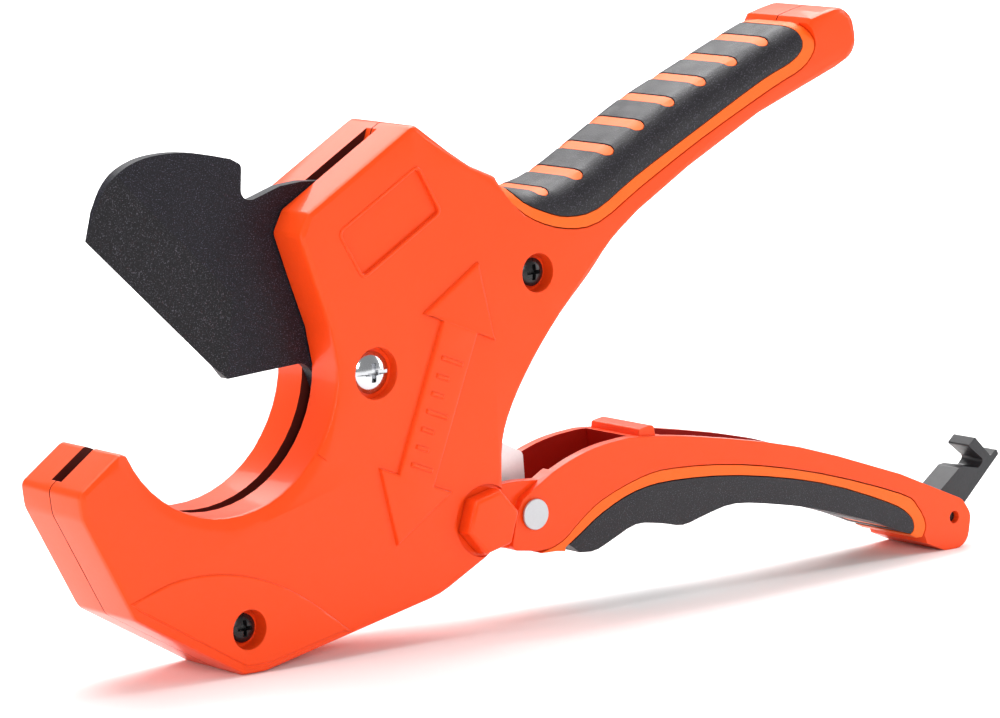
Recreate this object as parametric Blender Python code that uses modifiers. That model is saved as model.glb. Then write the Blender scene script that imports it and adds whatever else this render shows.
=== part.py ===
"""Ratcheting pipe cutter for pipe up to 63 mm, as separate pieces.

Plan: the tool lies in the XZ plane and Y is its thickness.  Outlines are in
millimetres from the blade pivot, X towards the handles and Z up, and world()
moves them so that the tool stands on Z = 0 with its box centred on X = 0.
"""
import math

import bmesh
import bpy
from mathutils import Matrix, Vector

MM = 0.001
GAP = 0.3                    # clearance between faces that touch

# ---- driving sizes, millimetres -------------------------------------------
THROAT_RADIUS = 32.85        # takes a 63 mm pipe
THROAT_WALL = 11.45          # from the throat to the blade pivot
BODY_HALF = 13.2             # half thickness of the two body castings
FOOT_Z = -70.0               # lowest edge, below the blade pivot
BLADE_HALF = 1.6
SLOT_HALF = BLADE_HALF + 0.5     # half width of the slot the blade runs in
HUB_RADIUS = 28.0            # ratchet tooth tips
TOOTH_HEIGHT = 2.4
TOOTH_PITCH = 8.0            # degrees
TEETH_FROM, TEETH_TO = -120.0, 8.0
CLOSED_ANGLE = 53.0          # blade swing from open to cut through
HANDLE_REACH = 161.0         # end of the fixed handle, from the blade pivot
LEVER_REACH = 203.0          # end of the lever's tail, from the blade pivot

# the outlines below are drawn for these sizes, and stretch when those above change
DRAWN_THROAT, DRAWN_HANDLE, DRAWN_LEVER = 32.85, 161.0, 203.0
HANDLE_SLOPE, LEVER_SLOPE = 24.0, -17.0      # degrees, along which the handles lengthen
THROAT = (-THROAT_WALL - THROAT_RADIUS, 2.4)
JAW_EXTRA = 2 * (THROAT_RADIUS - DRAWN_THROAT)

LEVER_PIVOT = (33.4, -41.1)
LEVER_SWING = 44.0           # degrees, open to closed
LEVER_WALL = 2.8
LEVER_HALF = BODY_HALF - 1.9
EAR_RADIUS = 7.6
EAR_HALF = LEVER_HALF - 2.1
BOLT_RADIUS = 4.0
HEX_RADIUS = 8.5
HEX_PROUD = 3.7
HEX_SUNK = 1.2

PAWL_PIVOT = (50.4, -41.8)
PAWL_HALF = 2.2
RIVET_RADIUS = 2.5
RIVET_HEAD = 4.0
HOLD_PIVOT = (-2.0, -37.0)
HOLD_PIN_RADIUS = 2.0

PIVOT_SCREW_RADIUS = 3.0
PIVOT_HEAD_RADIUS = 5.3
BUSH_RADIUS = 5.0
BODY_SCREWS = {"lower": (-40.3, -58.6), "rear": (51.3, 20.1)}
BODY_SCREW_RADIUS = 2.0
BODY_HEAD_RADIUS = 3.6

BLADE_PIN = (6.2, 16.9)      # return spring's pin on the blade
SPRING_POST = (37.0, 31.0)
SPRING_POST_RADIUS = 1.5
SPRING_Y = 4.7
LATCH_PIVOT = (196.7, -61.2)
LATCH_HALF = 4.2
LATCH_PIN_RADIUS = 1.4

CORE_INSET = 4.0             # metal under a grip, inside the outer width
PAD_DEPTH = 2.0              # rubber over its carrier
HANDLE_CROWN = 6.5           # rounding of the fixed handle's grip
LEVER_CROWN = 4.5
STRIPE_PITCH = 11.6
STRIPE_WIDTH = 3.4
STRIPE_SUNK = 0.15

RELIEF = 1.1                 # how far the arrow stands out of the casting
PANEL_DEPTH = 0.8            # sunk panel above the arrow
FOOT_PAD = 0.5               # raised pad round the lower screw
RIM_WIDTH, RIM_DEPTH = 3.8, 0.9  # slope round the throat
BLADE_GRIND = 16.8           # width of the blade's bevel
BLADE_EDGE = 0.15            # half thickness left at the cutting edge


# ---- outlines ---------------------------------------------------------------
def smooth(points, parts=3):
    """Catmull-Rom curve through the points."""
    path = [points[0], *points, points[-1]]
    result = []
    for before, a, b, after in zip(path, path[1:], path[2:], path[3:]):
        for step in range(parts):
            t = step / parts
            result.append(tuple(
                0.5 * (2 * a[k] + (b[k] - before[k]) * t
                       + (2 * before[k] - 5 * a[k] + 4 * b[k] - after[k]) * t ** 2
                       + (3 * a[k] - before[k] - 3 * b[k] + after[k]) * t ** 3)
                for k in (0, 1)))
    result.append(tuple(points[-1]))
    return result


def rounded(corners, turn=15.0):
    """Closed outline; a corner given as (x, z, radius) becomes an arc."""
    result = []
    for i, corner in enumerate(corners):
        here = Vector(corner[:2])
        radius = corner[2] if len(corner) > 2 else 0.0
        if not radius:
            result.append(tuple(here))
            continue
        to_last = (Vector(corners[i - 1][:2]) - here).normalized()
        to_next = (Vector(corners[(i + 1) % len(corners)][:2]) - here).normalized()
        half = math.acos(max(-1.0, min(1.0, to_last.dot(to_next)))) / 2
        centre = here + (to_last + to_next).normalized() * (radius / math.sin(half))
        start = here + to_last * (radius / math.tan(half)) - centre
        sweep = math.pi - 2 * half
        if to_last.x * to_next.y - to_last.y * to_next.x > 0:
            sweep = -sweep
        count = max(2, round(abs(math.degrees(sweep)) / turn))
        for k in range(count + 1):
            angle = sweep * k / count
            result.append((centre.x + start.x * math.cos(angle) - start.y * math.sin(angle),
                           centre.y + start.x * math.sin(angle) + start.y * math.cos(angle)))
    return result


def arc(centre, radius, start, end, count):
    """Points on a circle between two angles in degrees."""
    angles = [math.radians(start + (end - start) * k / count) for k in range(count + 1)]
    return [(centre[0] + radius * math.cos(a), centre[1] + radius * math.sin(a)) for a in angles]


def beside(line, distance):
    """The line moved sideways, to its left for a positive distance."""
    result = []
    for i, point in enumerate(line):
        ahead = Vector(line[min(i + 1, len(line) - 1)])
        behind = Vector(line[max(i - 1, 0)])
        run = (ahead - behind).normalized()
        result.append((point[0] - run.y * distance, point[1] + run.x * distance))
    return result


def turned_about(centre, point, degrees):
    """A point rotated counter-clockwise about a centre."""
    angle = math.radians(degrees)
    dx, dz = point[0] - centre[0], point[1] - centre[1]
    return (centre[0] + dx * math.cos(angle) - dz * math.sin(angle),
            centre[1] + dx * math.sin(angle) + dz * math.cos(angle))


def longer(points, start_x, extra, degrees):
    """Points beyond start_x moved along a handle, `extra` further out in X."""
    dz = extra * math.tan(math.radians(degrees))
    return [(p[0] + extra, p[1] + dz, *p[2:]) if p[0] > start_x else tuple(p) for p in points]


def handle_points(points):
    return longer(points, 100.0, HANDLE_REACH - DRAWN_HANDLE, HANDLE_SLOPE)


def lever_points(points):
    return longer(points, 140.0, LEVER_REACH - DRAWN_LEVER, LEVER_SLOPE)


def blade_points(points):
    """Points on the blade; the part beyond its neck spans the throat."""
    neck, drawn_span = -30.9, 44.9
    stretch = 1.0 + JAW_EXTRA / drawn_span
    return [(neck + (p[0] - neck) * stretch, *p[1:]) if p[0] < neck else tuple(p)
            for p in points]


# fixed handle: the line where its grip starts, the rubber's edge, and the crown
GRIP_LINE = smooth(handle_points([
    (38.6, 44.6), (43.3, 38.5), (50.5, 33.4), (60.9, 30.3), (71.5, 31.0), (85.7, 38.9),
    (106.1, 49.6), (130.2, 60.8), (140.7, 65.2), (145.0, 69.5), (145.3, 73.5), (142.9, 77.6)]))
PAD_LINE = smooth(handle_points([
    (44.2, 42.6), (48.1, 38.0), (54.5, 35.0), (61.5, 33.3), (71.0, 34.4), (84.0, 41.8),
    (105.0, 52.4), (126.7, 63.1), (137.2, 67.3), (141.2, 71.0), (140.6, 75.2), (137.3, 77.2)]))
CROWN = smooth(handle_points([
    (42.4, 43.4), (49.0, 40.6), (56.0, 40.6), (66.3, 43.4), (83.0, 52.3), (96.5, 59.5),
    (113.5, 66.6), (127.4, 72.4), (135.0, 75.4), (139.8, 77.2)]))

# moving handle: where its grip starts, the rubber's edge, and the finger side
LEVER_GRIP_LINE = smooth(lever_points([
    (52.6, -52.0), (59.5, -50.0), (65.7, -45.3), (73.0, -40.8), (85.8, -36.6), (97.0, -35.5),
    (120.0, -37.3), (148.1, -43.1), (176.9, -52.1), (183.2, -56.4), (186.3, -62.0),
    (184.6, -66.0)]))
LEVER_PAD_LINE = smooth(lever_points([
    (60.6, -51.8), (65.6, -48.7), (73.0, -44.2), (84.0, -40.0), (97.0, -38.7), (120.0, -40.2),
    (148.1, -45.6), (172.0, -53.8), (180.2, -58.4), (182.0, -62.4), (180.0, -64.4)]))
FINGER_SIDE = smooth(lever_points([
    (58.0, -52.6), (69.0, -54.0), (75.5, -52.0), (84.0, -48.8), (92.5, -49.6), (100.0, -51.0),
    (108.0, -49.2), (118.0, -47.6), (132.9, -49.7), (147.1, -52.8), (165.1, -58.1),
    (171.8, -60.5), (178.2, -63.1), (183.0, -65.4)]))

# outer line of the metal under each grip
HANDLE_CORE = [(38.6, 45.6), *beside(CROWN[3:-1], -CORE_INSET - 1.0),
               handle_points([(144.2, 78.4)])[0]]
LEVER_CORE = [(52.0, -51.6), *smooth(lever_points([
    (62.0, -51.2), (72.0, -48.0), (85.0, -44.2), (100.0, -43.2), (120.0, -43.6),
    (140.0, -46.8), (160.0, -52.0), (178.0, -58.0), (184.4, -62.0)])),
    lever_points([(186.6, -67.2)])[0]]


def body_outline():
    """Both castings: throat, hook, belly, back edge, handle and top."""
    mouth = arc(THROAT, THROAT_RADIUS, 0.0, -154.0, 22)
    belly = [(mouth[-1][0] - 2.4, mouth[-1][1] + 1.0, 1.5), (-88.2 - JAW_EXTRA, -19.6, 2.5),
             (-87.4 - JAW_EXTRA, -25.8, 6.0), (-73.0 - JAW_EXTRA, -52.2, 4.0),
             (-41.5, FOOT_Z, 1.2), (-35.0, FOOT_Z, 4.0), (19.0, -58.4, 24.0),
             (35.4, -50.0, 3.0), (39.6, -45.6, 3.0)]
    back = smooth([(39.4, -31.0), (39.9, -21.3), (43.2, -12.6), (50.0, -2.0), (58.8, 8.6),
                   (68.3, 17.8), (76.0, 26.0), (85.1, 32.8)])
    under = handle_points([(102.0, 42.6), (126.0, 54.6), (152.8, 64.6), (161.0, 68.5, 6.0),
                           (158.4, 81.6, 6.0), (148.6, 79.6, 2.0)])
    top = [(31.0, 48.8), (24.5, 52.9), (13.2, 60.9, 3.0), (-19.6, 41.4, 2.0),
           (-22.4, 36.0, 2.5), (-18.4, 25.0), (-13.4, 12.0)]
    return rounded([*mouth, *belly, *back, *under, *HANDLE_CORE[::-1], *top])


TIP, HEEL = blade_points([(-75.8, 38.46), (-36.5, 1.3)])     # ends of the cutting edge
SHOULDER = smooth([(-5.9, 47.4), (5.0, 44.4), (15.0, 37.0), (22.0, 26.0)])


def ratchet_teeth():
    """Saw teeth round the hub, steep on the side the pawls push."""
    result = []
    root = HUB_RADIUS - TOOTH_HEIGHT
    for k in range(round((TEETH_TO - TEETH_FROM) / TOOTH_PITCH)):
        start = TEETH_FROM + k * TOOTH_PITCH
        result += arc((0.0, 0.0), HUB_RADIUS, start, start + 1.0, 1)
        result += arc((0.0, 0.0), root, start + 1.6, start + 2.2, 1)
    return result


def blade_outline():
    nose = smooth([(-73.7, 45.4), (-70.9, 50.4), (-67.4, 53.9), (-63.0, 56.2), (-57.6, 57.5),
                   (-50.3, 57.8), (-43.1, 57.0), (-34.3, 55.1)])
    back = blade_points([
        *nose, (-31.0, 53.4, 1.5), (-31.4, 44.6, 2.5), (-27.6, 44.6, 2.0), (-19.6, 47.2),
        (-13.0, 47.8)])
    hub = arc((0.0, 0.0), HUB_RADIUS - TOOTH_HEIGHT, 42.0, TEETH_TO + 2.0, 3)
    under = [(-10.5, -19.0, 4.0), (-8.8, -6.0, 6.0), (-12.5, 3.0, 4.0)]
    return rounded([TIP, *back, *SHOULDER, *hub, *ratchet_teeth()[::-1], *under, HEEL])


def latch_outline():
    return lever_points(rounded([
        (195.2, -57.2), (205.3, -49.6, 0.6), (207.4, -49.4, 0.5), (212.6, -50.4, 1.0),
        (214.6, -48.4, 1.0), (208.8, -43.9, 0.4), (211.3, -41.7, 0.4), (217.2, -47.6, 0.6),
        (219.4, -45.8, 0.5), (220.2, -47.4, 0.5), (205.0, -61.6, 3.0), (201.0, -65.2, 3.6),
        (192.9, -64.6, 3.6)]))


TAIL_FOOT = lever_points([(201.6, FOOT_Z)])[0]
PIVOT_Z = -min(FOOT_Z, TAIL_FOOT[1])
PIVOT_X = -(min(p[0] for p in body_outline())
            + max(p[0] for p in body_outline() + latch_outline())) / 2


def world(x, z, y=0.0):
    """Place in metres of a point given in millimetres from the blade pivot."""
    return Vector(((PIVOT_X + x) * MM, y * MM, (PIVOT_Z + z) * MM))


# ---- building blocks --------------------------------------------------------
for old in list(bpy.data.objects):
    bpy.data.objects.remove(old, do_unlink=True)

MODEL = bpy.data.collections.new("pipe_cutter")
CUTTERS = bpy.data.collections.new("cutters")
bpy.context.scene.collection.children.link(MODEL)
bpy.context.scene.collection.children.link(CUTTERS)


def material(name, colour, roughness, metallic=0.0):
    result = bpy.data.materials.new(name)
    result.use_nodes = True
    shader = result.node_tree.nodes["Principled BSDF"]
    shader.inputs["Base Color"].default_value = (*colour, 1.0)
    shader.inputs["Roughness"].default_value = roughness
    shader.inputs["Metallic"].default_value = metallic
    return result


PAINT = material("orange_paint", (0.93, 0.12, 0.035), 0.3)
ORANGE_PLASTIC = material("orange_plastic", (0.98, 0.18, 0.03), 0.4)
RUBBER = material("black_rubber", (0.045, 0.045, 0.05), 0.75)
BLACK_STEEL = material("coated_steel", (0.03, 0.028, 0.032), 0.5, 0.6)
CHROME = material("chrome", (0.8, 0.8, 0.82), 0.15, 1.0)
ZINC = material("zinc_steel", (0.62, 0.64, 0.66), 0.35, 1.0)
BLACK_OXIDE = material("black_oxide", (0.02, 0.02, 0.022), 0.4, 0.8)
BLACK_PLASTIC = material("black_plastic", (0.04, 0.04, 0.045), 0.5)
SPRING_STEEL = material("spring_steel", (0.35, 0.35, 0.37), 0.3, 1.0)


def finish(obj, finish_material, pivot=None, smooth_angle=35.0):
    """Put a piece in the model, with its origin on its pivot if it has one."""
    if pivot is not None:
        place = world(*pivot)
        obj.data.transform(Matrix.Translation(obj.location - place))
        obj.location = place
    obj.data.materials.clear()
    obj.data.materials.append(finish_material)
    for polygon in obj.data.polygons:
        polygon.use_smooth = True
    obj.data.set_sharp_from_angle(angle=math.radians(smooth_angle))
    CUTTERS.objects.unlink(obj)
    MODEL.objects.link(obj)
    obj.hide_render = False
    obj.display_type = "TEXTURED"
    return obj


def new_object(name, mesh):
    obj = bpy.data.objects.new(name, mesh)
    CUTTERS.objects.link(obj)
    obj.hide_render = True
    obj.display_type = "WIRE"
    return obj


def curve_to_mesh(name, curve, matrix):
    """Mesh of a curve, with welded caps and flat faces left whole."""
    guide = bpy.data.objects.new(name + "_curve", curve)
    CUTTERS.objects.link(guide)
    graph = bpy.context.evaluated_depsgraph_get()
    graph.update()
    mesh = bpy.data.meshes.new_from_object(guide.evaluated_get(graph))
    bpy.data.objects.remove(guide, do_unlink=True)
    mesh.name = name
    mesh.transform(matrix)
    bm = bmesh.new()
    bm.from_mesh(mesh)
    bmesh.ops.remove_doubles(bm, verts=bm.verts, dist=0.000005)
    bmesh.ops.dissolve_limit(bm, angle_limit=0.0005, verts=bm.verts, edges=bm.edges)
    bmesh.ops.recalc_face_normals(bm, faces=bm.faces)
    bm.to_mesh(mesh)
    bm.free()
    return mesh


def plate(name, outline, y_near, y_far, edge=0.0, steps=2, near=True, far=True):
    """Flat outline given a thickness in Y, its rims rounded by `edge`."""
    curve = bpy.data.curves.new(name, "CURVE")
    curve.dimensions = "2D"
    curve.fill_mode = "BOTH"
    curve.extrude = (y_far - y_near) / 2 * MM
    spline = curve.splines.new("POLY")
    spline.points.add(len(outline) - 1)
    for point, (x, z) in zip(spline.points, outline):
        point.co = (x * MM, z * MM, 0.0, 1.0)
    spline.use_cyclic_u = True
    upright = Matrix.Rotation(math.pi / 2, 4, "X")
    mesh = curve_to_mesh(name, curve, upright)
    if edge:
        bm = bmesh.new()
        bm.from_mesh(mesh)
        half = (y_far - y_near) / 2 * MM
        sides = ([-half] if near else []) + ([half] if far else [])
        rim = [e for e in bm.edges
               if any(all(abs(v.co.y - side) < 1e-6 for v in e.verts) for side in sides)]
        bmesh.ops.bevel(bm, geom=rim, offset=edge * MM, segments=steps, profile=0.5,
                        affect="EDGES", clamp_overlap=True)
        bm.to_mesh(mesh)
        bm.free()
    obj = new_object(name, mesh)
    obj.location = world(0.0, 0.0, (y_near + y_far) / 2)
    return obj


def rod(name, x, z, y_near, y_far, radius, sides=24, turn=0.0, edge=0.0):
    """Round or polygonal bar along Y."""
    mesh = bpy.data.meshes.new(name)
    bm = bmesh.new()
    bmesh.ops.create_cone(bm, cap_ends=True, segments=sides, radius1=radius * MM,
                          radius2=radius * MM, depth=(y_far - y_near) * MM,
                          matrix=Matrix.Rotation(math.pi / 2, 4, "X")
                          @ Matrix.Rotation(math.radians(turn), 4, "Z"))
    if edge:
        half = (y_far - y_near) / 2 * MM
        rim = [e for e in bm.edges if all(abs(v.co.y + half) < 1e-6 for v in e.verts)]
        bmesh.ops.bevel(bm, geom=rim, offset=edge * MM, segments=2, profile=0.5, affect="EDGES")
    bm.to_mesh(mesh)
    bm.free()
    obj = new_object(name, mesh)
    obj.location = world(x, z, (y_near + y_far) / 2)
    return obj


def turned(name, profile, x, z, sides=24):
    """Profile of (radius, y) turned about an axis along Y, nearest end first."""
    mesh = bpy.data.meshes.new(name)
    verts = [(radius * MM, 0.0, -y * MM) for radius, y in profile]
    mesh.from_pydata(verts, [(k, k + 1) for k in range(len(verts) - 1)], [])
    obj = new_object(name, mesh)
    screw = obj.modifiers.new("turn", "SCREW")
    screw.axis = "Z"
    screw.steps = sides
    screw.render_steps = sides
    screw.use_merge_vertices = True
    screw.merge_threshold = 0.00001
    obj.rotation_euler = (math.pi / 2, 0.0, 0.0)
    obj.location = world(x, z)
    return obj


def wire(name, points, radius, sides_resolution=2):
    """Round wire through points given as (x, y, z)."""
    curve = bpy.data.curves.new(name, "CURVE")
    curve.dimensions = "3D"
    curve.bevel_depth = radius * MM
    curve.bevel_resolution = sides_resolution
    curve.use_fill_caps = True
    spline = curve.splines.new("POLY")
    spline.points.add(len(points) - 1)
    for point, (x, y, z) in zip(spline.points, points):
        point.co = (x * MM, y * MM, z * MM, 1.0)
    return new_object(name, curve_to_mesh(name, curve, Matrix.Identity(4)))


def cut(obj, cutter, operation="DIFFERENCE"):
    modifier = obj.modifiers.new(cutter.name, "BOOLEAN")
    modifier.object = cutter
    modifier.operation = operation
    return obj


# ---- body castings ----------------------------------------------------------
def slot_outline():
    """Everything the blade sweeps: hub circle, throat, hook and upper edge."""
    closed_edge = [turned_about((0.0, 0.0), end, CLOSED_ANGLE) for end in (TIP, HEEL)]
    floor = beside(closed_edge, -1.4)
    start = math.degrees(math.atan2(floor[0][1], floor[0][0]))
    reach = max(math.hypot(*point) for point in blade_outline())
    sweep = arc((0.0, 0.0), reach + 0.9, 140.0, start % 360.0, 16)
    hub = arc((0.0, 0.0), HUB_RADIUS + 1.0, -128.0, 38.0, 18)
    shoulder = beside(SHOULDER, 1.2)[::-1]
    return [*sweep, floor[1], *hub, *shoulder[:-3], (11.5, 64.0), (-60.0, 64.0)]


def ear_pocket_outline():
    """Where the lever's ears turn, open towards the lever."""
    radius = EAR_RADIUS + 0.6
    top = turned_about(LEVER_PIVOT, (LEVER_PIVOT[0] + 16.0, LEVER_PIVOT[1] + radius + 0.4),
                       LEVER_SWING)
    start = 90.0 + LEVER_SWING
    bore = arc(LEVER_PIVOT, radius + 0.4, start, start + 190.0, 20)
    return [(top[0] + 12.0, top[1]), top, *bore, (LEVER_PIVOT[0] + 12.0, FOOT_Z + 15.0)]


def pawl_pocket_outline():
    """Room for the drive pawl between the hub and the back edge."""
    return [(18.0, -20.0), (27.0, -33.5), (33.0, -42.0), (62.0, -42.0), (62.0, -24.0),
            (44.5, -8.0), (37.5, 4.0), (33.0, 12.0), (25.0, 13.0)]


def spring_pocket_outline():
    """Room for the blade's return spring and its pin."""
    return [(-11.6, 10.6), (-11.6, 18.6), (3.0, 23.6), (33.6, 37.4), (41.6, 33.6),
            (41.6, 26.6), (12.0, 13.4), (4.0, 12.6), (-4.0, 12.2)]


def hold_pocket_outline():
    """Room for the holding pawl and its spring, below the hub."""
    return rounded([(-7.6, -33.0, 2.0), (-7.6, -42.4, 3.0), (5.0, -42.4), (5.0, -50.0),
                    (11.0, -50.0), (11.0, -38.5), (21.4, -30.0), (21.4, -22.0), (12.0, -20.0),
                    (0.0, -31.0)])


def throat_rim(name, side):
    """Wedge-shaped ring that slopes a casting's face down to the throat."""
    outer, inner = THROAT_RADIUS + RIM_WIDTH, THROAT_RADIUS - 3.0
    fall = RIM_DEPTH / RIM_WIDTH
    face = BODY_HALF
    section = [(outer, face), (inner, face - fall * (outer - inner)), (inner, face + 1.0),
               (outer, face + 1.0)]
    mesh = bpy.data.meshes.new(name)
    bm = bmesh.new()
    start, sweep = math.radians(-38.0), math.radians(-120.0)
    along = Vector((math.cos(start), 0.0, math.sin(start)))
    verts = [bm.verts.new(along * radius * MM + Vector((0.0, side * y * MM, 0.0)))
             for radius, y in section]
    bmesh.ops.spin(bm, geom=[bm.faces.new(verts)], cent=(0.0, 0.0, 0.0), axis=(0.0, -1.0, 0.0),
                   angle=sweep, steps=18, use_duplicate=False)
    bmesh.ops.recalc_face_normals(bm, faces=bm.faces)
    bm.to_mesh(mesh)
    bm.free()
    cutter = new_object(name, mesh)
    cutter.location = world(*THROAT)
    return cutter


def arrow_outline():
    """Double-headed arrow along the direction in which the blade swings."""
    top, bottom = Vector((32.0, 24.8)), Vector((5.1, -43.8))
    run = (top - bottom).normalized()
    side = Vector((-run.y, run.x))
    head, barb, shaft = 17.0, 12.1, 5.9
    half = []
    for tip, way in ((top, 1.0), (bottom, -1.0)):
        neck = tip - run * head * way
        half.append([neck + side * shaft * way, neck + side * barb * way, tip,
                     neck - side * barb * way, neck - side * shaft * way])
    return [tuple(p) for p in (*half[0], *half[1])]


def scale_tick(name, side, index, length):
    """One raised line of the plain scale on the arrow's shaft."""
    top, bottom = Vector((32.0, 24.8)), Vector((5.1, -43.8))
    run = (top - bottom).normalized()
    across = Vector((run.y, -run.x))
    pitch, width = 4.6, 1.1
    foot = (top + bottom) / 2 + run * (index - 3.6) * pitch - across * 3.4
    corners = [foot - run * width / 2, foot + run * width / 2,
               foot + run * width / 2 + across * length, foot - run * width / 2 + across * length]
    depth = sorted((side * (BODY_HALF + RELIEF - 0.5), side * (BODY_HALF + RELIEF + 0.5)))
    return plate(name, [tuple(c) for c in corners], *depth, edge=0.25, steps=1,
                 near=side < 0, far=side > 0)


def panel_outline():
    return rounded([(13.7, 49.7, 1.2), (20.2, 38.4, 1.2), (-3.4, 24.6, 1.2), (-10.1, 35.7, 1.2)])


def foot_pad_outline():
    """Raised area round the lower screw, bounded by an arc and by the casting's edge."""
    upper = smooth([(-74.4, -47.8), (-63.0, -44.2), (-54.2, -43.5), (-46.9, -44.1),
                    (-39.5, -45.7), (-30.6, -49.1), (-21.7, -54.2), (-9.1, -63.6)])
    return [*upper, (-12.0, -63.0), (-34.0, -67.6), (-41.0, -67.6), (-71.4, -50.0)]


def handle_hollow_outline():
    """Casting's hollow inside the fixed handle."""
    lower = handle_points([(74.0, 27.5), (84.0, 36.0), (102.0, 46.4), (126.0, 58.6),
                           (146.0, 66.4)])
    upper = beside(CROWN[14:-4], -CORE_INSET - 4.0)[::-1]
    return [*lower, *upper, (64.0, 31.5)]


def body_casting(name, side):
    """One half of the body; side is -1 for the near half, +1 for the far."""
    def depth(inner, outer):
        return sorted((side * inner, side * outer))

    def pocket(tag, outline, inner, outer):
        return cut(body, plate(f"{name}_{tag}", outline, *depth(inner, outer)))

    def bore(tag, centre, inner, outer, radius, sides=20):
        return cut(body, rod(f"{name}_{tag}", *centre, *depth(inner, outer), radius, sides))

    outer = BODY_HALF + 2.0
    body = plate(name, body_outline(), *depth(GAP / 2, BODY_HALF), edge=2.0, near=side < 0,
                 far=side > 0)
    cut(body, throat_rim(f"{name}_throat_rim", side))
    rims = {"steps": 2, "near": side < 0, "far": side > 0}
    for tag, outline, proud in (("foot_pad", foot_pad_outline(), FOOT_PAD),
                                ("arrow", arrow_outline(), RELIEF)):
        raised = plate(f"{name}_{tag}", outline, *depth(BODY_HALF - 1.0, BODY_HALF + proud),
                       edge=proud * 0.8, **rims)
        cut(body, raised, "UNION")
    for tick, length in enumerate((7.0, 4.0, 4.0, 7.0, 4.0, 4.0, 7.0)):
        cut(body, scale_tick(f"{name}_tick_{tick}", side, tick, length), "UNION")
    pocket("panel", panel_outline(), BODY_HALF - PANEL_DEPTH, outer)
    pocket("slot", slot_outline(), -1.0, SLOT_HALF)
    pocket("ear_pocket", ear_pocket_outline(), -1.5, EAR_HALF + 0.4)
    pocket("pawl_pocket", pawl_pocket_outline(), -2.0, PAWL_HALF + 0.5)
    pocket("hold_pocket", hold_pocket_outline(), -2.5, SLOT_HALF + 0.3)
    pocket("handle_hollow", handle_hollow_outline(), -1.0, BODY_HALF - CORE_INSET - 2.6)
    grip = [*GRIP_LINE, *handle_points([(142.0, 90.0)]), (30.0, 70.0), (38.0, 47.5)]
    pocket("grip_seat", grip, BODY_HALF - CORE_INSET, outer)
    bore("pivot_hole", (0.0, 0.0), -1.0, outer, PIVOT_SCREW_RADIUS + GAP)
    floor = BODY_HALF - 3.0 if side < 0 else BODY_HALF - 4.2
    bore("pivot_counterbore", (0.0, 0.0), floor, outer, PIVOT_HEAD_RADIUS + 1.2, 32)
    for tag, centre in BODY_SCREWS.items():
        bore(f"{tag}_hole", centre, -1.0, outer, BODY_SCREW_RADIUS + GAP)
        bore(f"{tag}_counterbore", centre, BODY_HALF - 4.0, outer, BODY_HEAD_RADIUS + 1.4, 28)
    bore("bolt_hole", LEVER_PIVOT, 0.0, outer, BOLT_RADIUS + GAP)
    bore("hex_seat", LEVER_PIVOT, BODY_HALF - HEX_SUNK, outer, HEX_RADIUS + 0.8, 28)
    bore("hold_pin_hole", HOLD_PIVOT, -1.0, 6.0 + GAP, HOLD_PIN_RADIUS + GAP)
    if side > 0:
        pocket("spring_pocket", spring_pocket_outline(), -3.0, SPRING_Y + 2.6)
        bore("post_hole", SPRING_POST, 0.0, BODY_HALF - 2.6, SPRING_POST_RADIUS + GAP)
    return finish(body, PAINT)


# ---- blade and its pivot ----------------------------------------------------
def blade():
    body = plate("blade", blade_outline(), -BLADE_HALF, BLADE_HALF)
    cut(body, rod("blade_bore", 0.0, 0.0, -9.0, 9.0, BUSH_RADIUS + GAP))
    cut(body, rod("blade_pin_hole", *BLADE_PIN, -9.0, 9.0, 1.3 + GAP))
    for side in (-1, 1):
        cut(body, bevel_cutter(side))
    return finish(body, BLACK_STEEL, pivot=(0.0, 0.0))


def bevel_cutter(side):
    """Wedge that grinds one face of the blade down to its cutting edge.

    Its heel end slopes back up to the blade's face, a little before the heel.
    """
    tip, heel = Vector(TIP), Vector(HEEL)
    run = (heel - tip).normalized()
    inward = Vector((-run.y, run.x))
    beyond, above, run_out = 8.0, 4.0, 6.0
    slope = (BLADE_HALF - BLADE_EDGE) / BLADE_GRIND
    low = BLADE_EDGE - slope * beyond
    lean = Vector((0.98, -0.2)) * run_out / (BLADE_HALF - low)
    heel_outer = heel - Vector((1.1, -0.3)) - inward * beyond
    heel_inner = heel + Vector((2.0, 20.6))
    corners = [(tip - run * 14.0 - inward * beyond, low),
               (tip - run * 14.0 + inward * BLADE_GRIND, BLADE_HALF),
               (heel_outer, low), (heel_inner, BLADE_HALF)]
    tops = [(tip - run * 14.0 - inward * beyond, BLADE_HALF + above),
            (tip - run * 14.0 + inward * BLADE_GRIND, BLADE_HALF + above),
            (heel_outer + lean * (BLADE_HALF + above - low), BLADE_HALF + above),
            (heel_inner + lean * above, BLADE_HALF + above)]
    mesh = bpy.data.meshes.new(f"blade_grind_{side}")
    bm = bmesh.new()
    for p, y in corners + tops:
        bm.verts.new((p.x * MM, side * y * MM, p.y * MM))
    bmesh.ops.convex_hull(bm, input=bm.verts)
    bmesh.ops.recalc_face_normals(bm, faces=bm.faces)
    bm.to_mesh(mesh)
    bm.free()
    cutter = new_object(f"blade_grind_{side}", mesh)
    cutter.location = world(0.0, 0.0)
    return cutter


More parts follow.
